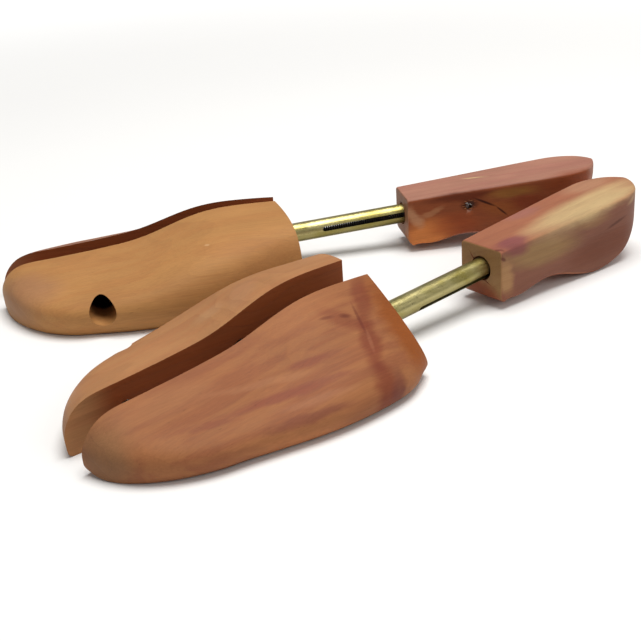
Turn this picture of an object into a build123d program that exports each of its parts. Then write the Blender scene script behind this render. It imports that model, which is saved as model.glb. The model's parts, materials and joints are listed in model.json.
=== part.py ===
from build123d import *
from math import cos, pi, radians, sin, tan
import os

# A pair of split-toe cedar shoe trees, laid heels together and toes apart.
# All sizes are in millimetres.
#
# Each tree has its own frame: x runs from toe to heel with 0 at the back of the forepart,
# y runs towards the other tree with 0 on the tube's centre line, and z is height above the
# ground. The free half of the forepart and the open ends of the cross holes are on +y.

# Layout of the pair
SPLAY = 14.5                 # each tree is turned this far from the pair's centre line
PAIR_SPACING = 118.0         # between the two tube centre lines, at the backs of the foreparts
STAGGER = 6.8                # how much further back the right tree lies
PAIR_SHIFT_X = -16.8         # brings the middle of the pair to the origin
PAIR_SHIFT_Y = 0.0

# Forepart, shaped as one toe form and then sawn lengthwise
TOE_TIP = -130.5
SLOT_OUTER = 1.2             # the tube half's sawn face
SLOT_GAP = 14.2              # the slot, with the halves sprung apart
SLOT_INNER = SLOT_OUTER + SLOT_GAP
SPREAD_TRAVEL = 10.0         # how far the free half can close
SAW_MARGIN = 1.8             # the form's ridge lines lie this far inside the slot
TIP_Y = 7.0                  # the toe's tip, between the two halves
TIP_Z = 6.5                  # and its height
OUTER_WIDEST_Z = 6.5         # height at which each side of the form reaches furthest
INNER_WIDEST_Z = 9.5
PLAN_CAP = 38.0              # length over which the toe rounds off, seen from above
TOP_CAP = 15.0               # and seen from the side, above the tip
SOLE_CAP = 5.0               # and below it
SOLE_EDGE = 7.0              # width of the rounding along the edge of the sole
FORM_STATIONS = 15
SOLE_CUT = 0.3               # the form reaches this far below the ground and is cut flat there
# (x, value) along the form: heights of the two edges of the slot, how far the form reaches
# to each side, the slope in degrees at which each side leaves the slot, and its fullness
OUTER_EDGE = ((3, 34.9), (-17, 35.9), (-34, 34.8), (-48, 31.3), (-64, 26.8), (-84, 23.9),
              (-108, 21.9), (-131, 20.6))
INNER_EDGE = ((3, 36.4), (-17, 37.0), (-34, 35.4), (-48, 31.4), (-64, 26.6), (-84, 23.8),
              (-108, 21.9), (-131, 20.6))
OUTER_REACH = ((3, -31.0), (-7, -38.5), (-22, -43.0), (-47, -43.3), (-66, -40.5), (-84, -36.6),
               (-108, -33.0), (-131, -33.0))
INNER_REACH = ((3, 55.0), (-20, 63.0), (-46, 67.0), (-70, 67.0), (-95, 63.5), (-131, 58.0))
OUTER_SLOPE = ((3, 29.0), (-46, 26.0), (-84, 19.5), (-131, 18.0))
INNER_SLOPE = ((3, 1.0), (-30, 4.0), (-60, 7.0), (-131, 9.0))
OUTER_FULLNESS = ((3, 0.20), (-24, 0.44), (-50, 0.52), (-131, 0.62))
INNER_FULLNESS = ((3, 0.86), (-60, 0.76), (-131, 0.72))
# (x, share) of the inner side's reach and fullness: the left free half is slimmer
LEFT_INNER_SHARE = ((3, 0.89), (-60, 0.88), (-100, 0.80), (-131, 0.68))
RIGHT_INNER_SHARE = ((3, 1.0), (-131, 1.0))
FORM_BACK = 9.0              # the form's back, before the halves are cut to length
TUBE_HALF_BACK = 3.0
FREE_HALF_BACK = 2.0
BACK_SLANT = 9.0             # degrees that the free half's back is out of square

# Tube
TUBE_R = 4.75
TUBE_WALL = 0.8
TUBE_HEIGHT = 13.0           # of its centre line, at the back of the forepart
TUBE_RISE = 3.4              # degrees, rising to the heel
TUBE_START = -38.0           # distances along the tube's centre line
TUBE_END = 105.0
TUBE_SLOT_START = 26.0
TUBE_SLOT_WIDTH = 2.4
LEFT_SLOT_ROLL = 30.0        # degrees the slot and cross pin are turned up, on the inward side
RIGHT_SLOT_ROLL = 9.0
ANCHOR_X = -27.0
ANCHOR_R = 1.4
ANCHOR_START = 1.0           # height of the pin's lower end, just inside the sole
ANCHOR_END = 19.5
PRESS_GAP = 0.02             # gap round the tube where it is held in the forepart
RUNNING_GAP = 0.06

# Guide pins, their springs and the pins that keep the halves together
GUIDE_R = 2.0
GUIDES = {"front": (-103.0, 8.8), "rear": (-51.0, 15.0)}
GUIDE_OUTER_END = -17.0
GUIDE_INNER_END = 34.0
GUIDE_BORE_END = GUIDE_INNER_END + SPREAD_TRAVEL + 2
POCKET_R = 4.6
POCKET_DEPTH = 7.0
SPREAD_SPRING_R = 3.4
SPREAD_WIRE_R = 0.45
SPREAD_TURNS = 9
KEEPER_R = 1.0
KEEPER_Y = 30.1
KEEPER_OFFSET = 1.75         # the keeper crosses this far towards the toe from the guide's centre
KEEPER_BITE = 5.0            # and ends this far above the guide's centre
KEEPER_START = 1.0
FLAT_FLOOR = 0.6             # the guide pin's stop flat, from its centre
FLAT_START = KEEPER_Y - KEEPER_R - SPREAD_TRAVEL - 0.3
FLAT_END = KEEPER_Y + KEEPER_R + 0.05

# Vent hole, drilled into the free half from its side
VENT_R = 5.85
VENT_FLOOR = 24.4            # how near it comes to the tube's centre line
VENT_X = -83.0
VENT_Z = 11.4

# Heel block
HEEL_FRONT = 67.5
HEEL_BACK = 167.5
HEEL_ROUND_START = 146.0     # where its back starts to round off, seen from above
HEEL_TOP = 10.5              # above the tube's centre line
HEEL_TRAVEL = 45.0
HEEL_BORE_GAP = 0.08
HEEL_BORE_END = TUBE_END + HEEL_TRAVEL + 1
HEEL_MOUTH_R = 5.6           # the bore is opened out at its mouth
HEEL_MOUTH_DEPTH = 4.0
HEEL_TOP_ROUND = 2.0
HEEL_SOLE_ROUND = 2.6
HEEL_FRONT_ROUND = 0.8
HEEL_TOE_ROUND = 6.0         # radius of its lower front corner, seen from the side
HEEL_STATIONS = 14
# (x, value) along the heel
HEEL_HALF_WIDTH = ((67, 12.0), (100, 13.6), (130, 15.2), (146, 15.8))
HEEL_SOLE = ((67, 0.8), (84, 4.2), (99, 6.4), (114, 3.2), (125, 0.5), (136, 0.5), (149, 5.0),
             (160, 15.0), (166, 26.0))

# Cross pin through the heel and the tube's slot
CROSS_X = 98.5
CROSS_R = 1.1
CROSS_OUTER_END = -9.5
CROSS_INNER_END = 11.6
CROSS_HOLE_R = 1.7           # the open hole that the pin was driven through
CROSS_SEAT = 8.0             # where the hole narrows to the pin

# Heel spring, between a seat on the anchor pin and a follower on the cross pin
HEEL_SPRING_R = 3.0
HEEL_WIRE_R = 0.45
HEEL_SPRING_TURNS = 25
SEAT_R = 3.8
SEAT_THICKNESS = 2.0
SEAT_X = ANCHOR_X + ANCHOR_R + 0.15
FOLLOWER_LENGTH = 9.0
FOLLOWER_NOSE_R = 2.2
FOLLOWER_NOSE = 4.0
FOLLOWER_X = CROSS_X - CROSS_R - FOLLOWER_LENGTH

STAND = (Align.CENTER, Align.CENTER, Align.MIN)   # a cylinder that stands on its plane


def smooth(points, x):
    """Follow (x, value) points with a smooth curve that goes through each of them."""
    points = sorted(points)
    last = len(points) - 1
    i = max(k for k in range(last) if points[k][0] <= x or k == 0)
    span = points[i + 1][0] - points[i][0]
    t = (x - points[i][0]) / span

    def slope(k):
        before = points[max(k - 1, 0)]
        after = points[min(k + 1, last)]
        return (after[1] - before[1]) / (after[0] - before[0])

    return ((2 * t**3 - 3 * t**2 + 1) * points[i][1] + (t**3 - 2 * t**2 + t) * span * slope(i)
            + (3 * t**2 - 2 * t**3) * points[i + 1][1] + (t**3 - t**2) * span * slope(i + 1))


def rounding(x, length):
    """Share of the full size left at x, where the toe rounds off over this length."""
    left = min(max((x - TOE_TIP) / length, 0), 1)
    return (1 - (1 - left) ** 2) ** 0.5


class Tree:
    """The planes of one tree. hand is 1 where the other tree is on its left, or else -1."""

    def __init__(self, name, x, y, turn, hand, slot_roll, inner_share):
        self.name = name
        self.inner_share = inner_share
        self.hand = hand
        self.slot_roll = slot_roll
        self.start = Vector(x, y, 0)
        self.along = Vector(cos(radians(turn)), sin(radians(turn)), 0)
        self.inward = Vector(0, 0, 1).cross(self.along) * hand
        rise = radians(TUBE_RISE)
        self.tube_way = self.along * cos(rise) + Vector(0, 0, sin(rise))

    def point(self, x, y, z):
        return self.start + self.along * x + self.inward * y + Vector(0, 0, z)

    def across(self, x):
        """Upright plane square to the tree: its own x is inward and its y is up."""
        return Plane(self.point(x, 0, 0), x_dir=self.inward, z_dir=self.along * self.hand)

    def side(self):
        """Upright plane along the tree: its own x is along the tree and its y is up."""
        return Plane(self.point(0, 0, 0), x_dir=self.along, z_dir=self.inward * -self.hand)

    def upright(self, x, y, z):
        """Level plane at a point, for pins and holes that stand upright."""
        return Plane(self.point(x, y, z), x_dir=self.along, z_dir=(0, 0, 1))

    def inwards(self, x, y, z):
        """Plane at a point that faces inward, for pins and holes across the tree."""
        return Plane(self.point(x, y, z), x_dir=self.along, z_dir=self.inward)

    def back(self, x, y, slant):
        """Upright plane that faces the heel, slanting further back on the inward side."""
        facing = self.along * cos(radians(slant)) - self.inward * sin(radians(slant))
        return Plane(self.point(x, y, 0), x_dir=(0, 0, 1), z_dir=facing)

    def on_tube(self, x):
        """Plane square to the tube, at this distance along it."""
        origin = self.point(0, 0, TUBE_HEIGHT) + self.tube_way * x
        return Plane(origin, x_dir=self.inward, z_dir=self.tube_way)

    def cross_way(self):
        """Direction of the cross pin and of the tube's slot, towards the inward side."""
        roll = radians(self.slot_roll)
        up = self.tube_way.cross(self.inward) * self.hand
        return self.inward * cos(roll) + up * sin(roll)

    def on_cross(self, x, y):
        """Plane that faces along the cross pin, y from the tube's centre line."""
        origin = self.on_tube(x).origin + self.cross_way() * y
        return Plane(origin, x_dir=self.tube_way, z_dir=self.cross_way())


def form_outline(x, inner_share):
    """The toe form's outline at x. For the outer side and then the inner one, it gives the
    four control points of the curve up to the slot and the points round the sole's edge."""
    plan = rounding(x, PLAN_CAP)
    share = smooth(inner_share, x)
    top_share = rounding(x, TOP_CAP)
    sole = (TIP_Z + SOLE_CUT) * (1 - rounding(x, SOLE_CAP)) - SOLE_CUT

    def side(slot, outwards, edge_height, full_reach, widest_z, slope, fullness):
        reach = TIP_Y + (full_reach - TIP_Y) * plan
        widest = TIP_Z + (widest_z - TIP_Z) * plan
        edge = TIP_Y + (slot - outwards * SAW_MARGIN - TIP_Y) * plan
        top = widest + (edge_height - widest) * top_share
        run = fullness * abs(reach - edge)
        drop = min(run * tan(radians(slope)), 0.7 * (top - widest))
        lift = 0.8 * fullness * (top - widest)
        upper = [(reach, widest), (reach, widest + lift), (edge + outwards * run, top - drop),
                 (edge, top)]
        round_width = SOLE_EDGE * plan
        low = reach - outwards * round_width
        knee = (low + outwards * round_width * 0.7, sole + (widest - sole) * 0.3)
        return upper, [(reach, widest), knee, (low, sole)]

    outer = side(SLOT_OUTER, -1, smooth(OUTER_EDGE, x), smooth(OUTER_REACH, x), OUTER_WIDEST_Z,
                 smooth(OUTER_SLOPE, x), smooth(OUTER_FULLNESS, x))
    inner = side(SLOT_INNER, 1, smooth(INNER_EDGE, x), smooth(INNER_REACH, x) * share,
                 INNER_WIDEST_Z, smooth(INNER_SLOPE, x), smooth(INNER_FULLNESS, x) * share)
    return (*outer, *inner)


def toe_form(tree):
    """The whole forepart before it is sawn."""
    with BuildPart() as form:
        for i in range(FORM_STATIONS):
            turn = (i + 0.3) / (FORM_STATIONS - 0.7) * pi / 2
            x = TOE_TIP + (FORM_BACK - TOE_TIP) * (1 - cos(turn))
            outer_top, outer_sole, inner_top, inner_sole = form_outline(x, tree.inner_share)
            with BuildSketch(tree.across(x)):
                with BuildLine():
                    Bezier(*outer_top)
                    Line(outer_top[-1], inner_top[-1])
                    Bezier(*reversed(inner_top))
                    Spline(*inner_sole, tangents=((0, -1), (-1, 0)))
                    Line(inner_sole[-1], outer_sole[-1])
                    Spline(*reversed(outer_sole), tangents=((-1, 0), (0, 1)))
                make_face()
        loft()
        split(bisect_by=Plane.XY, keep=Keep.TOP)
    return form.part


def tube_half(tree):
    """The outer half of the forepart, which holds the tube and the guide pins."""
    form = toe_form(tree)
    with BuildPart() as half:
        add(form)
        split(bisect_by=tree.inwards(0, SLOT_OUTER, 0), keep=Keep.BOTTOM)
        split(bisect_by=tree.back(TUBE_HALF_BACK, SLOT_OUTER, 0), keep=Keep.BOTTOM)
        with Locations(tree.on_tube(TUBE_START)):
            Cylinder(TUBE_R + PRESS_GAP, -TUBE_START + 10, align=STAND, mode=Mode.SUBTRACT)
        for x, z in GUIDES.values():
            with Locations(tree.inwards(x, SLOT_OUTER, z)):
                Hole(GUIDE_R, SLOT_OUTER - GUIDE_OUTER_END)
                Hole(POCKET_R, POCKET_DEPTH)
        with Locations(tree.upright(ANCHOR_X, 0, 0)):
            Cylinder(ANCHOR_R, ANCHOR_END, align=STAND, mode=Mode.SUBTRACT)
    return half


def free_half(tree):
    """The inner half of the forepart, which slides on the guide pins."""
    form = toe_form(tree)
    with BuildPart() as half:
        add(form)
        split(bisect_by=tree.inwards(0, SLOT_INNER, 0), keep=Keep.TOP)
        split(bisect_by=tree.back(FREE_HALF_BACK, SLOT_INNER, BACK_SLANT), keep=Keep.BOTTOM)
        for x, z in GUIDES.values():
            with Locations(tree.inwards(x, SLOT_INNER, z)):
                Cylinder(GUIDE_R + RUNNING_GAP, GUIDE_BORE_END - SLOT_INNER, align=STAND,
                         mode=Mode.SUBTRACT)
                Cylinder(POCKET_R, POCKET_DEPTH, align=STAND, mode=Mode.SUBTRACT)
            with Locations(tree.upright(x - KEEPER_OFFSET, KEEPER_Y, 0)):
                Cylinder(KEEPER_R, z + KEEPER_BITE, align=STAND, mode=Mode.SUBTRACT)
        with Locations(tree.inwards(VENT_X, VENT_FLOOR, VENT_Z)):
            Cylinder(VENT_R, 80, align=STAND, mode=Mode.SUBTRACT)
    return half


def guide_pin(tree, x, z):
    """A pin fixed in the tube half, with a flat near its inner end for the keeper."""
    with BuildPart() as pin:
        with Locations(tree.inwards(x, GUIDE_OUTER_END, z)):
            Cylinder(GUIDE_R, GUIDE_INNER_END - GUIDE_OUTER_END, align=STAND)
        chamfer(pin.edges().filter_by(GeomType.CIRCLE), 0.4)
        with Locations(tree.inwards(x - FLAT_FLOOR, FLAT_START, z)):
            Box(2 * GUIDE_R, 3 * GUIDE_R, FLAT_END - FLAT_START, mode=Mode.SUBTRACT,
                align=(Align.MAX, Align.CENTER, Align.MIN))
    return pin


def keeper_pin(tree, x, z):
    """A small pin driven up through the sole, across the guide pin's flat."""
    with BuildPart() as pin:
        with Locations(tree.upright(x - KEEPER_OFFSET, KEEPER_Y, KEEPER_START)):
            Cylinder(KEEPER_R, z + KEEPER_BITE - KEEPER_START, align=STAND)
    return pin


def anchor_pin(tree):
    """The pin driven up through the sole and both walls of the tube."""
    with BuildPart() as pin:
        with Locations(tree.upright(ANCHOR_X, 0, ANCHOR_START)):
            Cylinder(ANCHOR_R, ANCHOR_END - ANCHOR_START, align=STAND)
    return pin


def coil_spring(plane, length, radius, wire, turns):
    """An open coil along the plane's normal, with its wire ends just inside the length."""
    run = length - 2 * wire
    with BuildPart() as spring:
        with BuildLine() as coil:
            Helix(run / turns, run, radius, center=plane.offset(wire).origin,
                  direction=plane.z_dir)
        with BuildSketch(Plane(coil.line @ 0, z_dir=coil.line % 0)):
            Circle(wire)
        sweep(path=coil.line, is_frenet=True)
    return spring


def slotted_tube(tree):
    """The tube, with a lengthwise slot through both walls for the heel's cross pin."""
    slot_end = CROSS_X + CROSS_R + 0.1
    slot_length = slot_end - TUBE_SLOT_START
    slot_middle = (slot_end + TUBE_SLOT_START) / 2
    with BuildPart() as tube:
        with BuildSketch(tree.on_tube(TUBE_START)):
            Circle(TUBE_R)
            Circle(TUBE_R - TUBE_WALL, mode=Mode.SUBTRACT)
        extrude(amount=TUBE_END - TUBE_START)
        with BuildSketch(tree.on_cross(slot_middle, 0)):
            SlotOverall(slot_length, TUBE_SLOT_WIDTH)
        extrude(amount=2 * TUBE_R, both=True, mode=Mode.SUBTRACT)
        with Locations(tree.upright(ANCHOR_X, 0, 0)):
            Cylinder(ANCHOR_R, ANCHOR_END, align=STAND, mode=Mode.SUBTRACT)
    return tube


def spring_seat(tree):
    """The disc that carries the heel spring's front end and rests on the anchor pin."""
    with BuildPart() as seat:
        with Locations(tree.on_tube(SEAT_X)):
            Cylinder(SEAT_R, SEAT_THICKNESS, align=STAND)
        chamfer(seat.edges().filter_by(GeomType.CIRCLE), 0.3)
    return seat


def follower(tree):
    """The plug between the heel spring and the cross pin, with a nose inside the spring."""
    with BuildPart() as plug:
        with Locations(tree.on_tube(FOLLOWER_X)):
            Cylinder(SEAT_R, FOLLOWER_LENGTH, align=STAND)
        with Locations(tree.on_tube(FOLLOWER_X - FOLLOWER_NOSE)):
            Cylinder(FOLLOWER_NOSE_R, FOLLOWER_NOSE, align=STAND)
        chamfer(plug.edges().filter_by(GeomType.CIRCLE).group_by(SortBy.RADIUS)[0], 0.3)
    return plug


def cross_pin(tree):
    with BuildPart() as pin:
        with Locations(tree.on_cross(CROSS_X, CROSS_OUTER_END)):
            Cylinder(CROSS_R, CROSS_INNER_END - CROSS_OUTER_END, align=STAND)
        chamfer(pin.edges().filter_by(GeomType.CIRCLE), 0.25)
    return pin


def heel_outline(x):
    """The heel's section at x: points round its lower and upper corners on the inward side."""
    beyond = max(x - HEEL_ROUND_START, 0) / (HEEL_BACK - HEEL_ROUND_START)
    curve = (1 - beyond**2) ** 0.5
    half = smooth(HEEL_HALF_WIDTH, min(x, HEEL_ROUND_START)) * curve
    top = TUBE_HEIGHT + HEEL_TOP + x * tan(radians(TUBE_RISE))
    bottom = smooth(HEEL_SOLE, x)
    high = min(HEEL_TOP_ROUND, 0.45 * half, 0.45 * (top - bottom))
    low = min(HEEL_SOLE_ROUND, 0.45 * half, 0.45 * (top - bottom))
    lower = [(half - low, bottom), (half - 0.3 * low, bottom + 0.3 * low), (half, bottom + low)]
    upper = [(half, top - high), (half - 0.3 * high, top - 0.3 * high), (half - high, top)]
    return lower, upper


def heel_block(tree):
    """The heel, drawn section by section, with a bore for the tube and a cross hole."""
    with BuildPart() as heel:
        for i in range(HEEL_STATIONS):
            turn = i / (HEEL_STATIONS - 0.7) * pi / 2
            x = HEEL_FRONT + (HEEL_BACK - HEEL_FRONT) * sin(turn)
            lower, upper = heel_outline(x)
            with BuildSketch(tree.across(x)):
                with BuildLine():
                    Spline(*lower, tangents=((1, 0), (0, 1)))
                    Line(lower[-1], upper[0])
                    Spline(*upper, tangents=((0, 1), (-1, 0)))
                    Line(upper[-1], (0, upper[-1][1]))
                    Line((0, upper[-1][1]), (0, lower[0][1]))
                    Line((0, lower[0][1]), lower[0])
                make_face()
        loft()
        mirror(about=tree.side())
        low = smooth(HEEL_SOLE, HEEL_FRONT + HEEL_TOE_ROUND)
        with BuildSketch(tree.side()):
            with BuildLine():
                corner = JernArc((HEEL_FRONT, low + HEEL_TOE_ROUND), (0, -1), HEEL_TOE_ROUND, 84)
                Polyline(corner @ 1, (HEEL_FRONT + 3 * HEEL_TOE_ROUND, -1), (HEEL_FRONT - 5, -1),
                         (HEEL_FRONT - 5, low + HEEL_TOE_ROUND), corner @ 0)
            make_face()
        extrude(amount=30, both=True, mode=Mode.SUBTRACT)
        front = heel.faces().sort_by(Axis(tree.point(0, 0, 0), tree.along))[0]
        fillet(front.edges().sort_by(Axis.Z)[1:], HEEL_FRONT_ROUND)
        with Locations(tree.on_tube(HEEL_FRONT - 10)):
            Cylinder(TUBE_R + HEEL_BORE_GAP, HEEL_BORE_END - HEEL_FRONT + 10, align=STAND,
                     mode=Mode.SUBTRACT)
            Cylinder(HEEL_MOUTH_R, HEEL_MOUTH_DEPTH + 10, align=STAND, mode=Mode.SUBTRACT)
        with Locations(tree.on_cross(CROSS_X, CROSS_OUTER_END)):
            Cylinder(CROSS_R, 30, align=STAND, mode=Mode.SUBTRACT)
        with Locations(tree.on_cross(CROSS_X, CROSS_SEAT)):
            Cylinder(CROSS_HOLE_R, 20, align=STAND, mode=Mode.SUBTRACT)
    return heel


def make_tree(tree):
    """Every piece of one tree, by name."""
    pieces = {"toe_tube_half": tube_half(tree), "toe_free_half": free_half(tree)}
    pocket_floor = SLOT_OUTER - POCKET_DEPTH
    spring_length = SLOT_GAP + 2 * POCKET_DEPTH
    for place, (x, z) in GUIDES.items():
        pieces[place + "_guide_pin"] = guide_pin(tree, x, z)
        pieces[place + "_keeper_pin"] = keeper_pin(tree, x, z)
        pieces[place + "_spreader_spring"] = coil_spring(
            tree.inwards(x, pocket_floor, z), spring_length, SPREAD_SPRING_R, SPREAD_WIRE_R,
            SPREAD_TURNS)
    pieces["slotted_tube"] = slotted_tube(tree)
    pieces["tube_anchor_pin"] = anchor_pin(tree)
    pieces["spring_seat"] = spring_seat(tree)
    pieces["heel_spring"] = coil_spring(
        tree.on_tube(SEAT_X + SEAT_THICKNESS), FOLLOWER_X - SEAT_X - SEAT_THICKNESS,
        HEEL_SPRING_R, HEEL_WIRE_R, HEEL_SPRING_TURNS)
    pieces["spring_follower"] = follower(tree)
    pieces["heel_cross_pin"] = cross_pin(tree)
    pieces["heel_block"] = heel_block(tree)
    return pieces


left_y = PAIR_SHIFT_Y - PAIR_SPACING / 2
right_y = PAIR_SHIFT_Y + PAIR_SPACING / 2
pair = (Tree("left", PAIR_SHIFT_X - STAGGER / 2, left_y, SPLAY, 1, LEFT_SLOT_ROLL,
             LEFT_INNER_SHARE),
        Tree("right", PAIR_SHIFT_X + STAGGER / 2, right_y, -SPLAY, -1, RIGHT_SLOT_ROLL,
             RIGHT_INNER_SHARE))

os.makedirs("parts", exist_ok=True)
for tree in pair:
    for name, piece in make_tree(tree).items():
        piece.part.label = tree.name + "_" + name
        export_step(piece.part, "parts/" + piece.part.label + ".step")
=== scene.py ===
import json
import math

import bmesh
import bpy
from mathutils import Matrix, Vector, noise

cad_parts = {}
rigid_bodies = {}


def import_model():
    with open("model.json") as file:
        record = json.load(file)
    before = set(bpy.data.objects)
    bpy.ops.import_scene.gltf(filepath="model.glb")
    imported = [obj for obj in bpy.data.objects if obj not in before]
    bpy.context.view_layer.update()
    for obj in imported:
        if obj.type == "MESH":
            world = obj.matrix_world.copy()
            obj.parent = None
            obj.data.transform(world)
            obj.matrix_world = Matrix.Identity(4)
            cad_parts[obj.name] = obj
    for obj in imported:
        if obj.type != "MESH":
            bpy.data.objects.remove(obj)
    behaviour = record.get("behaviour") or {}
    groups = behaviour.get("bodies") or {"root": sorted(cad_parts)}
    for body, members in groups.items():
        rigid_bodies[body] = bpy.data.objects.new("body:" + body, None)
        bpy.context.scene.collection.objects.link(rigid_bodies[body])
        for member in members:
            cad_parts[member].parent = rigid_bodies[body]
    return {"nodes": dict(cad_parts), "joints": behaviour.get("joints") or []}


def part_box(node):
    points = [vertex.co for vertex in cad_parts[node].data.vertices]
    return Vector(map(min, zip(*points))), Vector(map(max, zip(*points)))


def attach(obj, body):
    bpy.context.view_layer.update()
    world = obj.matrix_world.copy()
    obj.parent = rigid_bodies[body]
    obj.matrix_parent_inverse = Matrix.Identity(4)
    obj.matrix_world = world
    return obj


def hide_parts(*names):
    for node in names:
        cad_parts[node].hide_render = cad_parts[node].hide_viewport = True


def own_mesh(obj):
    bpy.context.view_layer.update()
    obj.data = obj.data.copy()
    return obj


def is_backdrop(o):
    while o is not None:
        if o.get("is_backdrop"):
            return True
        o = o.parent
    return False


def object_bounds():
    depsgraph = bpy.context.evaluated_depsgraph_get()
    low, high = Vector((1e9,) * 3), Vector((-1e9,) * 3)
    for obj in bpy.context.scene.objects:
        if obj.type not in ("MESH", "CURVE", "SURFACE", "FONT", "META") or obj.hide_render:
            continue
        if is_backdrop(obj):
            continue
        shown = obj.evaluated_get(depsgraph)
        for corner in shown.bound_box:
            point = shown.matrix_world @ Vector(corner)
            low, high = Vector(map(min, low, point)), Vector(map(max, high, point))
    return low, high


# A pair of cedar shoe trees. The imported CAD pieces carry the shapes. This script gives each
# one its material, puts finer coils in place of the springs, adds the torn wood round the
# heel pins, and sets the floor, lights and camera.
# Each tree has its own frame, in millimetres: x runs from toe to heel with 0 at the
# forepart's back, y runs towards the other tree from the tube, and z is height.

TUBE_HEIGHT = 0.013          # of the tube's centre line at the forepart's back
TUBE_MIDDLE = 0.0335         # from there to the middle of the tube
EXPOSURE = 1.40              # how brightly the lights fall on a level surface

# Coil springs, in metres
HEEL_COIL_RADIUS = 0.0031    # to the middle of the wire, inside the tube's 3.95 mm bore
HEEL_WIRE_RADIUS = 0.00032
HEEL_COIL_TURNS = 99         # dense enough to leave the tube's slot dark
SEAT_FACE = 0.001            # from the seat's middle to the coil's first end
FOLLOWER_FACE = 0.004        # from the coil's last end to the follower's middle
SPREAD_COIL_RADIUS = 0.0034
SPREAD_WIRE_RADIUS = 0.00045
SPREAD_COIL_TURNS = 10
SPREAD_COIL_LENGTH = 0.0282

# Floor, and the camera's angles in degrees, place in metres and lens in millimetres
FLOOR_HALF_SIZE = 9.0
FLOOR_GAP = 0.0001           # keeps the floor just clear of the soles
GLOW_START, GLOW_END, GLOW = 0.4, 1.6, 0.75
AZIMUTH, ELEVATION, ROLL = 23.12, 24.84, -4.20
CAMERA_PLACE = (-0.1988, -0.4291, 0.2032)
FOCAL_LENGTH = 62.6
LENS_SHIFT = (0.0014, 0.0111)

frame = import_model()
cad_low, cad_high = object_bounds()
nodes = frame["nodes"]
joints = {joint["name"]: joint for joint in frame["joints"]}


# ---------------------------------------------------------------- the trees' frames
class Tree:
    """One shoe tree's own frame, worked out from its joints and its tube."""
    def __init__(self, side):
        self.side = side
        self.tube_way = -Vector(joints[side + "_heel_slide"]["axis"]).normalized()
        self.inward = -Vector(joints[side + "_toe_spread"]["axis"]).normalized()
        self.along = Vector((self.tube_way.x, self.tube_way.y, 0)).normalized()
        low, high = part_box(side + "_slotted_tube")
        self.middle = (low + high) / 2
        self.origin = self.middle - self.tube_way * TUBE_MIDDLE
        self.origin.z -= TUBE_HEIGHT

    def point(self, x, y, z):
        """A point of this tree's frame, given in millimetres, in the row frame."""
        return self.origin + (self.along * x + self.inward * y + Vector((0, 0, z))) / 1000

    def on_tube(self, node):
        """The place on the tube's centre line level with a CAD node's middle."""
        low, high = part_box(node)
        return self.middle + self.tube_way * ((low + high) / 2 - self.middle).dot(self.tube_way)


trees = {side: Tree(side) for side in ("left", "right")}


def colour(red, green, blue, gain=1.0):
    """A linear colour from 0 to 255 values as they look under these lights."""
    def linear(value):
        value /= 255
        return value / 12.92 if value <= 0.04045 else ((value + 0.055) / 1.055) ** 2.4
    return tuple(min(gain * linear(v) / EXPOSURE, 0.95) for v in (red, green, blue)) + (1.0,)


# ---------------------------------------------------------------- material building
class Shade:
    """One node material, with short ways to add its nodes."""

    def __init__(self, name):
        self.material = bpy.data.materials.new(name)
        self.material.use_nodes = True
        self.tree = self.material.node_tree
        self.surface = self.tree.nodes["Principled BSDF"]

    def put(self, socket, value):
        if isinstance(value, bpy.types.NodeSocket):
            self.tree.links.new(value, socket)
        else:
            socket.default_value = value

    def node(self, kind, values=(), **settings):
        made = self.tree.nodes.new(kind)
        for name, setting in settings.items():
            setattr(made, name, setting)
        for name, value in dict(values).items():
            self.put(made.inputs[name], value)
        return made

    def math(self, operation, *values, clamp=False):
        made = self.node("ShaderNodeMath", enumerate(values), operation=operation)
        made.use_clamp = clamp
        return made.outputs[0]

    def vector(self, operation, *values):
        made = self.node("ShaderNodeVectorMath", enumerate(values), operation=operation)
        return made.outputs["Value" if operation in ("DOT_PRODUCT", "LENGTH") else "Vector"]

    def noise(self, place, scale, detail=2.0, rough=0.5, distortion=0.0, output="Fac"):
        values = {"Vector": place, "Scale": scale, "Detail": detail, "Roughness": rough,
                  "Distortion": distortion}
        return self.node("ShaderNodeTexNoise", values).outputs[output]

    def stretch(self, place, x, y, z):
        """The place divided by these lengths, so a noise of scale 1 has features that long."""
        return self.vector("MULTIPLY", place, (1 / x, 1 / y, 1 / z))

    def span(self, value, low, high, out_low=0.0, out_high=1.0):
        """Smoothly from out_low where the value is low to out_high where it is high."""
        values = {"Value": value, "From Min": low, "From Max": high, "To Min": out_low,
                  "To Max": out_high}
        made = self.node("ShaderNodeMapRange", values, interpolation_type="SMOOTHSTEP")
        return made.outputs["Result"]

    def mix(self, share, first, second, blend="MIX"):
        made = self.node("ShaderNodeMix", data_type="RGBA", blend_type=blend)
        self.put(made.inputs["Factor"], share)
        for socket, value in zip([s for s in made.inputs if s.type == "RGBA"], (first, second)):
            self.put(socket, value)
        return next(s for s in made.outputs if s.type == "RGBA")

    def place(self):
        """Where the surface is, in the row frame at rest."""
        return self.node("ShaderNodeTexCoord").outputs["Object"]

    def bump(self, height, distance):
        made = self.node("ShaderNodeBump", {"Height": height, "Distance": distance})
        self.put(self.surface.inputs["Normal"], made.outputs["Normal"])


def tree_place(shade, tree):
    """The surface's place in a tree's own frame, in millimetres."""
    offset = shade.vector("SUBTRACT", shade.place(), tuple(tree.origin))
    parts = [shade.vector("DOT_PRODUCT", offset, tuple(axis * 1000))
             for axis in (tree.along, tree.inward, Vector((0, 0, 1)))]
    return shade.node("ShaderNodeCombineXYZ", enumerate(parts)).outputs[0]


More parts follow.
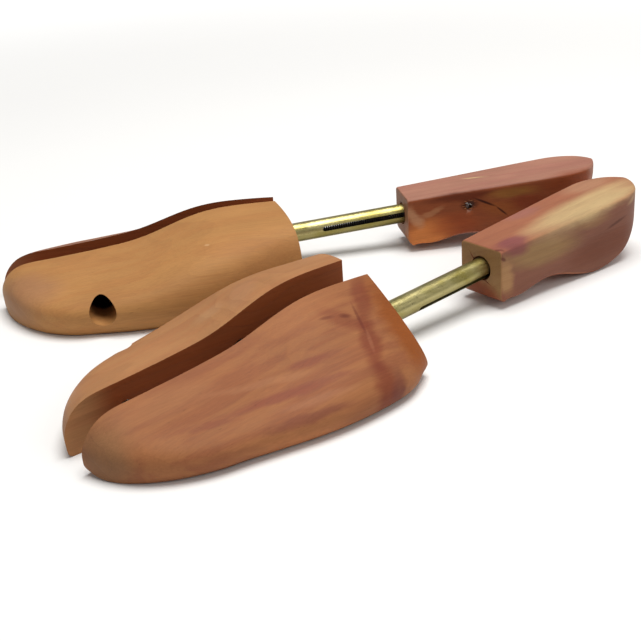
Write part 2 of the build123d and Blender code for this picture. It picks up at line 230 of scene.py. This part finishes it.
def strokes_over(shade, place, tint, strokes):
    """Blend strokes of other colours over a tint. A stroke is (start, end, radius, colour,
    share), a long soft spot round the line between two places, and may end with where its
    edge starts and stops."""
    for start, end, radius, stroke_colour, share, *rim in strokes:
        start, end = Vector(start), Vector(end)
        reach = (end - start) / 2
        turn = reach.to_track_quat("X", "Z").to_euler()
        inside = shade.node("ShaderNodeMapping", {
            "Vector": place, "Location": (start + end) / 2, "Rotation": turn,
            "Scale": (reach.length + radius, radius, radius)}, vector_type="TEXTURE").outputs[0]
        away = shade.vector("LENGTH", inside)
        outer, inner = rim or (1.15, 0.35)
        tint = shade.mix(shade.span(away, outer, inner, 0, share), tint, stroke_colour)
    return tint


def cedar(name, tree, base, streak, pith, ring_width=4.2, ring_dark=0.16, streak_share=0.6,
          streak_size=(150, 6, 5), knots=(), faces=(), strokes=(), lines=(), end_grain=0.85,
          seed=0.0):
    """Sanded cedar. pith is the (y, z) of the growth rings' centre, knots are
    (x, y, z, size, push) places that bend the rings, and faces are (way, from, to, toe limit,
    colour, share) colours of the faces that look that way. These face colours are partly the
    sawn faces' own tint and partly painted shade and light. Strokes have ragged edges and
    lines have clean ones, and a few lines paint shade in holes or a highlight."""
    shade = Shade(name)
    place = tree_place(shade, tree)
    shifted = shade.vector("ADD", place, (seed * 137, seed * 71, seed * 53))

    drift = shade.noise(shade.stretch(shifted, 90, 34, 34), 1.0, 2, output="Color")
    drift = shade.vector("MULTIPLY", shade.vector("SUBTRACT", drift, (0.5, 0.5, 0.5)), (12, 6, 6))
    bent = shade.vector("ADD", place, drift)

    # growth rings round the pith, pushed aside by the knots
    around = shade.vector("MULTIPLY", shade.vector("SUBTRACT", bent, (0, pith[0], pith[1])),
                          (0.05, 1, 1))
    radius = shade.vector("LENGTH", around)
    for x, y, z, size, push in knots:
        gap = shade.vector("LENGTH", shade.vector("SUBTRACT", bent, (x, y, z)))
        radius = shade.math("ADD", radius, shade.span(gap, 0, size, push, 0))
    uneven = shade.noise(shade.stretch(shifted, 300, 26, 26), 1.0, 3)
    rings = shade.math("ADD", shade.math("DIVIDE", radius, ring_width),
                       shade.math("MULTIPLY", uneven, 3.0))
    phase = shade.math("FRACT", rings)
    late = shade.math("MULTIPLY", shade.span(phase, 0.25, 0.93), shade.span(phase, 1.0, 0.95))

    # long streaks, fibre and flecks along the grain
    long_way = shade.noise(shade.stretch(bent if not seed else shade.vector(
        "ADD", bent, (seed * 137, seed * 71, seed * 53)), *streak_size), 1.0, 2, 0.45)
    streaky = shade.math("MULTIPLY", shade.span(long_way, 0.42, 0.62), streak_share)
    fibre = shade.noise(shade.stretch(bent, 22, 0.7, 0.7), 1.0, 3, 0.65)
    fine = shade.noise(shade.stretch(bent, 5, 0.28, 0.28), 1.0, 2, 0.6)
    fleck = shade.span(shade.noise(shade.stretch(shifted, 3.2, 0.5, 0.5), 1.0, 1), 0.70, 0.78)
    cloud = shade.noise(shade.stretch(shifted, 40, 22, 22), 1.0, 3)

    tint = shade.mix(streaky, base, streak)
    normal = shade.node("ShaderNodeTexCoord").outputs["Normal"]
    apart = shade.node("ShaderNodeSeparateXYZ", {0: place}).outputs[0]
    # Faces that look a given way take their own colour: the sawn slot faces' tint with painted
    # shade of the slot, and painted shade and light on the heels' sides and fronts.
    for way, low, high, toe_limit, face_colour_and_shade, share in faces:
        axis = tree.along * way[0] + tree.inward * way[1] + Vector((0, 0, way[2]))
        looks = shade.vector("DOT_PRODUCT", normal, tuple(axis))
        facing_shade_mask = shade.math("MULTIPLY", shade.span(looks, low, high, 0, share),
                          shade.span(apart, toe_limit, toe_limit + 16))
        tint = shade.mix(facing_shade_mask, tint, face_colour_and_shade)
    edge = shade.noise(shade.stretch(shifted, 16, 7, 7), 1.0, 3, 0.6, output="Color")
    edge = shade.vector("MULTIPLY", shade.vector("SUBTRACT", edge, (0.5, 0.5, 0.5)), (7, 4, 4))
    tint = strokes_over(shade, shade.vector("ADD", place, edge), tint, strokes)
    tint = shade.mix(shade.math("MULTIPLY", late, ring_dark), tint, (0.16, 0.055, 0.03, 1))
    tint = strokes_over(shade, place, tint, lines)
    light = shade.math("ADD", shade.span(fibre, 0.3, 0.7, 0.93, 1.05),
                       shade.math("ADD", shade.span(cloud, 0.3, 0.7, -0.05, 0.05),
                                  shade.span(fine, 0.3, 0.7, -0.03, 0.03)))
    light = shade.math("SUBTRACT", light, shade.math("MULTIPLY", fleck, 0.16))
    facing = shade.math("ABSOLUTE", shade.vector("DOT_PRODUCT", normal, tuple(tree.along)))
    light = shade.math("MULTIPLY", light, shade.span(facing, 0.55, 0.95, 1.0, end_grain))
    grey = shade.node("ShaderNodeCombineXYZ", {0: light, 1: light, 2: light}).outputs[0]
    tint = shade.mix(1.0, tint, grey, "MULTIPLY")

    shade.put(shade.surface.inputs["Base Color"], tint)
    shade.put(shade.surface.inputs["Roughness"], shade.span(fibre, 0.2, 0.8, 0.46, 0.62))
    shade.surface.inputs["Specular IOR Level"].default_value = 0.12
    height = shade.math("ADD", shade.math("MULTIPLY", fibre, 0.5),
                        shade.math("ADD", shade.math("MULTIPLY", fine, 0.25),
                                   shade.math("MULTIPLY", late, -0.35)))
    shade.bump(height, 0.00012)
    return shade.material


def brass(name, tree):
    """Satin brass plate, drawn lengthwise, with a speckle, faint tarnish in patches and painted
    shade on the undersides.
    """
    shade = Shade(name)
    place = tree_place(shade, tree)
    drawn = shade.noise(shade.stretch(place, 30, 0.35, 0.35), 1.0, 3, 0.6)
    speck = shade.noise(place, 1.2, 3, 0.7)
    tarnish = shade.noise(shade.stretch(place, 14, 6, 6), 1.0, 3)
    tint = shade.mix(shade.span(tarnish, 0.35, 0.7), colour(218, 206, 146), colour(184, 170, 94))
    tint = shade.mix(shade.span(speck, 0.55, 0.72, 0, 0.5), tint, colour(246, 236, 180))
    tint = shade.mix(shade.span(speck, 0.42, 0.28, 0, 0.6), tint, colour(118, 102, 42))
    # The undersides darken towards a dull olive brass: painted shade.
    up = shade.node("ShaderNodeSeparateXYZ", {
        0: shade.node("ShaderNodeTexCoord").outputs["Normal"]}).outputs[2]
    tint = shade.mix(shade.span(up, 0.35, -0.3, 0, 0.6), tint, colour(126, 114, 58))
    shade.put(shade.surface.inputs["Base Color"], tint)
    shade.surface.inputs["Metallic"].default_value = 1.0
    rough = shade.math("ADD", shade.span(drawn, 0.3, 0.7, 0.30, 0.40),
                       shade.span(speck, 0.4, 0.6, -0.03, 0.05))
    shade.put(shade.surface.inputs["Roughness"], rough)
    height = shade.math("ADD", shade.math("MULTIPLY", drawn, 0.5),
                        shade.math("MULTIPLY", speck, 0.8))
    shade.bump(height, 0.00005)
    return shade.material


def steel(name, tint, dark, rough, bright=1.0):
    """Plain drawn steel, with fine lines and grey patches."""
    shade = Shade(name)
    place = shade.vector("MULTIPLY", shade.place(), (1000, 1000, 1000))
    patch = shade.noise(place, 0.35, 3, 0.6)
    grain = shade.noise(place, 3.0, 3, 0.7)
    shade.put(shade.surface.inputs["Base Color"],
              shade.mix(shade.span(patch, 0.35, 0.7), tint, dark))
    shade.surface.inputs["Metallic"].default_value = bright
    shade.put(shade.surface.inputs["Roughness"], shade.span(grain, 0.3, 0.7, rough, rough + 0.14))
    shade.bump(grain, 0.00004)
    return shade.material


def paint(node, material):
    """Give a CAD node its material."""
    piece = nodes[node]
    piece.data.materials.clear()
    piece.data.materials.append(material)
    return piece


# ---------------------------------------------------------------- cedar of each piece
left, right = trees["left"], trees["right"]
# The slot faces' colour: the darker red of sawn cedar, with painted shade of the narrow slot added
# in.
SAWN_TINT_AND_SLOT_SHADE = colour(158, 78, 38)
INWARD, OUTWARD, FORWARD = (0, 1, 0), (0, -1, 0), (-1, 0, 0)
LIMITLESS = -300
BAND = colour(134, 60, 44)
ROSE = colour(152, 84, 66)

wood = {
    "left_toe_tube_half": cedar(
        "cedar_left_tube_half", left, colour(180, 118, 76), colour(152, 86, 62),
        pith=(30, -60), ring_width=6.0, ring_dark=0.07, streak_share=0.45,
        streak_size=(230, 4.6, 4.6),
        knots=((-22, -14, 27, 12, 5),),
        faces=((INWARD, 0.93, 0.985, -126, SAWN_TINT_AND_SLOT_SHADE, 0.9),),
        strokes=(
            ((-60, -2, 29), (-22, -3, 33), 8, colour(188, 124, 78), 0.6),
            ((-112, -6, 18), (-86, -8, 20), 9, colour(182, 124, 84), 0.5),
            ((-136, -16, 8), (-122, -4, 10), 14, colour(164, 120, 84), 0.75),
            ((-104, -38, 3), (-44, -43, 2), 5, colour(204, 132, 84), 0.8),
            ((-96, -22, 15), (-26, -36, 17), 2.6, ROSE, 0.7),
            ((-64, -19, 22), (-30, -26, 21), 2.4, ROSE, 0.6),
            ((-112, -18, 14), (-74, -30, 13), 2.2, ROSE, 0.6),
            ((-82, -36, 10), (-42, -43, 11), 2.6, colour(138, 78, 62), 0.7),
            ((-70, -33, 14), (-38, -39, 14), 2.4, colour(190, 130, 92), 0.5),
            ((-88, -12, 19), (-46, -27, 19), 2.6, colour(190, 130, 90), 0.5),
            ((-27, -9, 30), (-18, -20, 26), 5.0, colour(150, 82, 56), 0.7),
            ((3, -4, 32), (-2, -46, 6), 12, colour(160, 88, 40), 0.95),
            ((-2, 1, 34), (-15, -17, 26), 5.0, BAND, 0.6),
            ((-15, -17, 26), (-25, -35, 17), 5.0, BAND, 0.62),
            ((-25, -35, 17), (-30, -46, 2), 6.0, BAND, 0.72),
            ((-20, -40, 12), (-24, -46, 0), 5.0, colour(122, 62, 56), 0.7)),
        # The first of these lines, pale along the dark band, is a painted highlight on the crease.
        lines=(((-18, -21, 24), (-23, -31, 19), 1.1, colour(196, 132, 96), 0.25),
               ((-23, -12, 27.6), (-20, -13, 27.2), 1.6, colour(108, 52, 38), 0.75),
               ((-31, -10, 29), (-26, -11, 28.5), 1.1, colour(122, 62, 46), 0.6),
               ((-14, -8, 30.3), (-20, -24, 22.4), 0.9, colour(110, 48, 40), 0.5))),
    "left_toe_free_half": cedar(
        "cedar_left_free_half", left, colour(200, 143, 95), colour(196, 132, 88),
        pith=(20, -46), ring_width=7.0, ring_dark=0.12, streak_share=0.5,
        knots=((-40, 28, 33, 22, 14),),
        faces=((OUTWARD, 0.95, 0.99, -122, SAWN_TINT_AND_SLOT_SHADE, 0.92),),
        strokes=(((-58, 31, 26), (-50, 31, 28), 5, colour(208, 158, 112), 0.6),
                 ((-46, 22, 32), (-34, 34, 32), 7, colour(200, 146, 106), 0.5),
                 ((-130, 22, 4), (-116, 26, 8), 10, colour(176, 124, 82), 0.6)),
        seed=1.0),
    "right_toe_tube_half": cedar(
        "cedar_right_tube_half", right, colour(168, 106, 70), colour(150, 88, 62),
        pith=(20, -50), ring_width=5.0, ring_dark=0.12, streak_share=0.5,
        faces=((INWARD, 0.93, 0.985, -126, SAWN_TINT_AND_SLOT_SHADE, 0.9),), seed=2.0),
    "right_toe_free_half": cedar(
        "cedar_right_free_half", right, colour(204, 148, 90), colour(198, 136, 82),
        pith=(10, -70), ring_width=6.5, ring_dark=0.07, streak_share=0.45,
        faces=((OUTWARD, 0.95, 0.99, -122, SAWN_TINT_AND_SLOT_SHADE, 0.92),),
        strokes=(((-124, 34, 14), (-112, 42, 14), 16, colour(186, 136, 102), 0.6),
                 ((-16, 52, 14), (-4, 56, 16), 18, colour(172, 116, 66), 0.6),
                 ((-60, 58, 10), (-36, 60, 8), 10, colour(180, 122, 74), 0.5)),
        # The first of these lines paints the vent hole's inside nearly black: painted shade.
        lines=(((-83, 22, 11.4), (-83, 52, 11.4), 6.6, colour(18, 7, 4), 0.98, 1.0, 0.93),
               ((-34.4, 47.2, 30.3), (-33.4, 47.6, 30.5), 0.9, colour(226, 178, 128), 0.8),),
        seed=3.0),
    "left_heel_block": cedar(
        "cedar_left_heel", left, colour(184, 118, 88), colour(174, 104, 82),
        pith=(-30, -20), ring_width=4.5, ring_dark=0.10, streak_share=0.55,
        # The faces looking out and in take darker colours and the front face a lighter one: painted
        # shade on the sides and painted light on the front.
        faces=((OUTWARD, 0.7, 0.9, LIMITLESS, colour(140, 92, 74), 0.9),
               (INWARD, 0.7, 0.9, LIMITLESS, colour(150, 88, 62), 0.8),
               (FORWARD, 0.6, 0.9, LIMITLESS, colour(196, 152, 100), 0.9)),
        strokes=(
            ((72, -12, 22), (112, -14.5, 20), 8, colour(166, 132, 86), 0.8),
            ((112, -14, 27), (136, -15, 26), 4, colour(170, 130, 88), 0.6),
            ((112, -15, 11), (156, -15, 14), 8, colour(128, 74, 54), 0.8),
            ((90, -8, 28.6), (166, -4, 32.5), 10.0, colour(220, 186, 136), 1.0),
            ((100, -13, 30.0), (166, -11, 33), 5.5, colour(218, 186, 136), 0.95),
            ((69, -12, 20), (72, -12.5, 8), 5.0, colour(190, 144, 96), 0.85),
            ((74, -9, 28), (82, -8, 28), 6.5, colour(154, 88, 88), 0.9),
            ((73, -12, 27), (80, -13, 25), 4.0, colour(144, 84, 80), 0.8),
            ((98, 10, 30), (112, 9, 30), 5, colour(176, 116, 104), 0.7),
            ((140, 10, 32), (160, 8, 33), 8, colour(202, 152, 118), 0.7),
            ((67, 9, 8), (69, -8, 3), 8, colour(166, 82, 54), 0.85),
            ((70, -12, 5), (78, -13, 6), 4, colour(146, 92, 70), 0.6)),
        lines=(((67.5, -8, 28), (69.5, -11, 27.4), 1.1, colour(122, 62, 54), 0.8),
               ((67.8, -12, 24.4), (69.6, -12.4, 23.2), 1.0, colour(104, 56, 44), 0.8),
               ((134, -15.6, 19.5), (149, -15.7, 23), 0.9, colour(98, 58, 48), 0.7),
               ((150, -15, 28), (158, -13.5, 30), 1.6, colour(196, 160, 116), 0.6)),
        seed=4.0),
    "right_heel_block": cedar(
        "cedar_right_heel", right, colour(194, 138, 116), colour(186, 124, 108),
        pith=(-30, 60), ring_width=4.5, ring_dark=0.08, streak_share=0.55,
        # The faces looking in, out and forward take colours darker than the top: painted shade on
        # the sides and front.
        faces=((INWARD, 0.7, 0.9, LIMITLESS, colour(156, 80, 42), 0.92),
               (OUTWARD, 0.7, 0.9, LIMITLESS, colour(160, 96, 66), 0.8),
               (FORWARD, 0.6, 0.9, LIMITLESS, colour(176, 122, 84), 0.9)),
        strokes=(
            ((72, 12.3, 7), (84, 12.6, 9), 10, colour(226, 138, 74), 0.95),
            ((84, 13, 12), (98, 13.4, 12), 8, colour(172, 82, 44), 0.7),
            ((69, 12, 22), (73, 12.3, 14), 3.6, colour(206, 150, 110), 0.8),
            ((74, 12.4, 17.5), (85, 13, 22), 1.8, colour(196, 134, 92), 0.7),
            ((76, 12.5, 26), (112, 14.5, 27), 3.0, colour(104, 42, 26), 0.7),
            ((108, 14.3, 25.5), (132, 15.2, 26), 3.2, colour(176, 118, 60), 0.85),
            ((106, 14, 20), (124, 14.8, 17), 4.6, colour(172, 98, 52), 0.8),
            ((122, 14.8, 20), (134, 15.4, 20), 5.0, colour(146, 64, 40), 0.6),
            ((138, 15.6, 27), (164, 13, 29), 6.0, colour(160, 76, 40), 0.75)),
        lines=(((100.5, 13.6, 25.2), (112, 14.2, 19.6), 0.75, colour(56, 22, 14), 0.9),
               ((112, 14.2, 19.6), (118, 14.5, 14.2), 0.6, colour(64, 26, 16), 0.85),
               # The line below paints the torn pin hollow nearly black: painted shade.
               ((96.5, 12.4, 21.8), (101, 12.4, 22.2), 3.2, colour(48, 22, 14), 0.9),
               ((100, -5, 29.5), (113, -1.5, 30.3), 1.0, colour(236, 200, 150), 0.9),
               ((104, -2.4, 29.7), (116, -2.0, 30.4), 0.6, colour(150, 96, 80), 0.5)),
        seed=5.0),
}
for node, material in wood.items():
    paint(node, material)

pin_steel = steel("pin_steel", (0.50, 0.50, 0.50, 1), (0.30, 0.29, 0.28, 1), 0.34)
spring_steel = steel("spring_steel", (0.46, 0.46, 0.47, 1), (0.26, 0.26, 0.27, 1), 0.28)
# The heel coils' steel is near black: painted shade that keeps the tube's slot dark.
painted_shade_steel = steel("painted_shade_steel", (0.02, 0.017, 0.015, 1), (0.012, 0.01, 0.009, 1), 0.8, 0)
for side, tree in trees.items():
    paint(side + "_slotted_tube", brass("brass_" + side, tree))
    for part in ("front_guide_pin", "rear_guide_pin", "front_keeper_pin", "rear_keeper_pin",
                 "tube_anchor_pin", "spring_seat", "spring_follower", "heel_cross_pin"):
        paint(side + "_" + part, pin_steel)


# ---------------------------------------------------------------- coil springs
def mesh_piece(name, verts, faces, material, smooth=True):
    mesh = bpy.data.meshes.new(name)
    mesh.from_pydata([tuple(v) for v in verts], [], faces)
    mesh.materials.append(material)
    if smooth:
        mesh.shade_smooth()
    mesh.update()
    made = bpy.data.objects.new(name, mesh)
    bpy.context.scene.collection.objects.link(made)
    return made


def swept(centres, radii, way, sides=8):
    """Vertices and faces of a round wire along these points, closed at both ends."""
    verts, faces = [], []
    for i, centre in enumerate(centres):
        ahead = (centres[min(i + 1, len(centres) - 1)] - centres[max(i - 1, 0)]).normalized()
        out = way.cross(ahead).normalized()
        up = ahead.cross(out)
        for k in range(sides):
            turn = 2 * math.pi * k / sides
            verts.append(centre + (out * math.cos(turn) + up * math.sin(turn)) * radii[i])
        if i:
            first, last = (i - 1) * sides, i * sides
            faces += [(first + k, first + (k + 1) % sides, last + (k + 1) % sides, last + k)
                      for k in range(sides)]
    faces.append(tuple(reversed(range(sides))))
    faces.append(tuple(range(len(verts) - sides, len(verts))))
    return verts, faces


def coil(name, start, way, length, radius, wire, turns, material, steps=20):
    """A compression spring whose last turn at each end lies flat against the next."""
    side_way = way.orthogonal().normalized()
    other_way = way.cross(side_way)
    closed, wire_pitch = 1.0, 2.1 * wire
    open_pitch = (length - 2 * wire - 2 * closed * wire_pitch) / (turns - 2 * closed)
    centres = []
    for i in range(int(turns * steps) + 1):
        turned = i / steps
        ends = min(turned, closed) + max(turned - (turns - closed), 0)
        along = wire + ends * wire_pitch + (turned - ends) * open_pitch
        angle = 2 * math.pi * turned
        centres.append(start + way * along
                       + (side_way * math.cos(angle) + other_way * math.sin(angle)) * radius)
    verts, faces = swept(centres, [wire] * len(centres), way)
    return mesh_piece(name, verts, faces, material)


for side, tree in trees.items():
    start = tree.on_tube(side + "_spring_seat") + tree.tube_way * SEAT_FACE
    length = (tree.on_tube(side + "_spring_follower") - start).length - FOLLOWER_FACE
    made = coil(side + "_heel_coil", start, tree.tube_way, length, HEEL_COIL_RADIUS,
                HEEL_WIRE_RADIUS, HEEL_COIL_TURNS, painted_shade_steel)
    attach(made, side + "_forepart")
    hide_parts(side + "_heel_spring")
    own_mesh(made)
    for place in ("front", "rear"):
        low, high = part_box(f"{side}_{place}_spreader_spring")
        length = SPREAD_COIL_LENGTH
        start = (low + high) / 2 - tree.inward * length / 2
        made = coil(f"{side}_{place}_spreader_coil", start, tree.inward, length,
                    SPREAD_COIL_RADIUS, SPREAD_WIRE_RADIUS, SPREAD_COIL_TURNS, spring_steel, 28)
        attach(made, side + "_forepart")
        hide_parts(f"{side}_{place}_spreader_spring")
        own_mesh(made)


# ---------------------------------------------------------------- torn wood at the heel pins
def torn_hole(tree, centre, radii, seed):
    """A ragged hollow cut into the heel's inward side."""
    tool_mesh = bmesh.new()
    bmesh.ops.create_icosphere(tool_mesh, subdivisions=4, radius=1.0)
    for vert in tool_mesh.verts:
        way = vert.co.normalized()
        wobble = noise.noise(way * 1.6 + Vector((seed, 0, 0))) * 0.45
        wobble += noise.noise(way * 4.5 + Vector((0, seed, 0))) * 0.22
        local = Vector((way.x * radii[0], way.y * radii[1], way.z * radii[2])) * (1 + wobble)
        vert.co = tree.point(centre[0] + local.x, centre[1] + local.y, centre[2] + local.z)
    data = bpy.data.meshes.new(tree.side + "_hollow_tool")
    tool_mesh.to_mesh(data)
    tool_mesh.free()
    tool = bpy.data.objects.new(tree.side + "_hollow_tool", data)
    bpy.context.scene.collection.objects.link(tool)
    tool.hide_render = True
    tool.hide_viewport = True
    heel = nodes[tree.side + "_heel_block"]
    tool.parent = heel.parent
    weld = heel.modifiers.new("weld", "WELD")
    weld.merge_threshold = 1e-6
    cut = heel.modifiers.new("hollow", "BOOLEAN")
    cut.operation = "DIFFERENCE"
    cut.solver = "EXACT"
    cut.object = tool


def splinters(tree, centre, radii, count, material, seed):
    """Thin torn fibres that lie along the grain round the hollow's rim."""
    verts, faces = [], []
    for i in range(count):
        turn = 2 * math.pi * i / count + 0.7 * noise.noise(Vector((i, seed, 0)))
        size = 1.2 + 1.1 * abs(noise.noise(Vector((seed, i * 1.7, 3))))
        root = (centre[0] + radii[0] * 1.05 * math.cos(turn), centre[1],
                centre[2] + radii[2] * 1.05 * math.sin(turn))
        inwards_x = -math.copysign(size, math.cos(turn))
        tip = (root[0] + inwards_x, centre[1] + 0.05, root[2] - 0.35 * math.sin(turn))
        centres = [tree.point(root[0] + (tip[0] - root[0]) * t,
                              root[1] - 0.35 + (tip[1] + 0.3 - root[1]) * t,
                              root[2] + (tip[2] - root[2]) * t) for t in (0, 0.35, 0.7, 1)]
        more, sides = swept(centres, [0.00030, 0.00026, 0.00016, 0.00004],
                            Vector((0, 0, 1)), 5)
        faces += [tuple(v + len(verts) for v in face) for face in sides]
        verts += more
    made = mesh_piece(tree.side + "_pin_splinters", verts, faces, material, False)
    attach(made, tree.side + "_heel")


def burr(tree, name, centre, radius, wire, tilt, material):
    """A small curl of metal, where the pin's end was spread."""
    centres, radii = [], []
    for i in range(15):
        turn = math.radians(-60 + 250 * i / 14 + tilt)
        centres.append(tree.point(centre[0] + radius * math.cos(turn),
                                  centre[1] + 0.3 * math.sin(turn * 1.3),
                                  centre[2] + radius * math.sin(turn)))
        radii.append(wire / 1000 * (0.5 + 0.5 * math.sin(math.pi * i / 14)))
    verts, faces = swept(centres, radii, tree.inward)
    made = mesh_piece(name, verts, faces, material)
    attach(made, tree.side + "_heel")


RIGHT_HOLLOW, LEFT_HOLLOW = (98.6, 13.7, 21.9), (98.5, 13.3, 25.2)
torn_hole(right, RIGHT_HOLLOW, (3.7, 1.9, 2.3), 3.0)
torn_hole(left, LEFT_HOLLOW, (2.4, 1.3, 1.5), 7.0)
torn_cedar = cedar("cedar_torn", right, colour(150, 84, 50), colour(196, 134, 84), pith=(-30, 60),
                   ring_width=4.0, streak_size=(8, 0.9, 0.9))
splinters(right, RIGHT_HOLLOW, (3.7, 1.9, 2.3), 11, torn_cedar, 2.0)
burr(right, "right_pin_burr_front", (97.1, 13.0, 21.9), 0.95, 0.34, 20, pin_steel)
burr(right, "right_pin_burr_rear", (99.9, 12.9, 22.3), 0.85, 0.32, 200, pin_steel)


# ---------------------------------------------------------------- floor, light, camera
floor_mesh = bpy.data.meshes.new("floor")
floor_mesh.from_pydata([(x * FLOOR_HALF_SIZE, y * FLOOR_HALF_SIZE, 0)
                        for x, y in ((-1, -1), (1, -1), (1, 1), (-1, 1))],
                       [], [(0, 1, 2, 3)])
floor = bpy.data.objects.new("floor", floor_mesh)
floor.location.z = cad_low.z - FLOOR_GAP
bpy.context.scene.collection.objects.link(floor)
pale = Shade("floor_paper")
pale.put(pale.surface.inputs["Base Color"],
         pale.mix(pale.noise(pale.place(), 3.0, 3), (0.86, 0.86, 0.855, 1), (0.89, 0.89, 0.885, 1)))
pale.surface.inputs["Roughness"].default_value = 0.9
pale.surface.inputs["Specular IOR Level"].default_value = 0.1
# the paper glows a little far off, where the lamps no longer reach it
pale.surface.inputs["Emission Color"].default_value = (1, 1, 1, 1)
pale.put(pale.surface.inputs["Emission Strength"],
         pale.span(pale.vector("LENGTH", pale.place()), GLOW_START, GLOW_END, 0, GLOW))
floor_mesh.materials.append(pale.material)
floor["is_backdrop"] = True


def area_light(name, place, aim, size, power, tint=(1, 1, 1)):
    data = bpy.data.lights.new(name, "AREA")
    data.shape = "DISK"
    data.size = size
    data.energy = power
    data.color = tint
    lamp = bpy.data.objects.new(name, data)
    lamp.location = place
    lamp.rotation_mode = "QUATERNION"
    lamp.rotation_quaternion = (Vector(aim) - Vector(place)).to_track_quat("-Z", "Y")
    bpy.context.scene.collection.objects.link(lamp)


area_light("top_light", (0.15, -0.05, 1.5), (0, 0, 0), 1.1, 23.0, (1.0, 0.985, 0.96))
area_light("front_light", (0.7, -1.3, 1.0), (0, 0, 0.02), 0.9, 4.5, (1.0, 0.98, 0.95))

world = bpy.data.worlds.new("studio")
world.use_nodes = True
bpy.context.scene.world = world
sky = world.node_tree
sky.nodes["Background"].inputs["Color"].default_value = (1.0, 1.0, 1.0, 1)
sky.nodes["Background"].inputs["Strength"].default_value = 0.30
seen = sky.nodes.new("ShaderNodeBackground")
seen.inputs["Color"].default_value = (1, 1, 1, 1)
choose = sky.nodes.new("ShaderNodeMixShader")
rays = sky.nodes.new("ShaderNodeLightPath")
sky.links.new(rays.outputs["Is Camera Ray"], choose.inputs[0])
sky.links.new(sky.nodes["Background"].outputs[0], choose.inputs[1])
sky.links.new(seen.outputs[0], choose.inputs[2])
sky.links.new(choose.outputs[0], sky.nodes["World Output"].inputs["Surface"])

azimuth, elevation, roll = (math.radians(angle) for angle in (AZIMUTH, ELEVATION, ROLL))
level = Vector((math.cos(azimuth), -math.sin(azimuth), 0))
ahead = Vector((math.sin(azimuth) * math.cos(elevation),
                math.cos(azimuth) * math.cos(elevation),
                -math.sin(elevation)))
above = level.cross(ahead)
camera_right = level * math.cos(roll) + above * math.sin(roll)
camera_up = above * math.cos(roll) - level * math.sin(roll)
lens = bpy.data.cameras.new("camera")
lens.lens = FOCAL_LENGTH
lens.sensor_width = 36.0
lens.shift_x, lens.shift_y = LENS_SHIFT
lens.clip_start = 0.01
camera = bpy.data.objects.new("camera", lens)
camera.matrix_world = Matrix.Translation(CAMERA_PLACE) @ Matrix(
    (camera_right, camera_up, -ahead)).transposed().to_4x4()
bpy.context.scene.collection.objects.link(camera)
bpy.context.scene.camera = camera
bpy.context.scene.view_settings.view_transform = "Standard"

low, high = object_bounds()
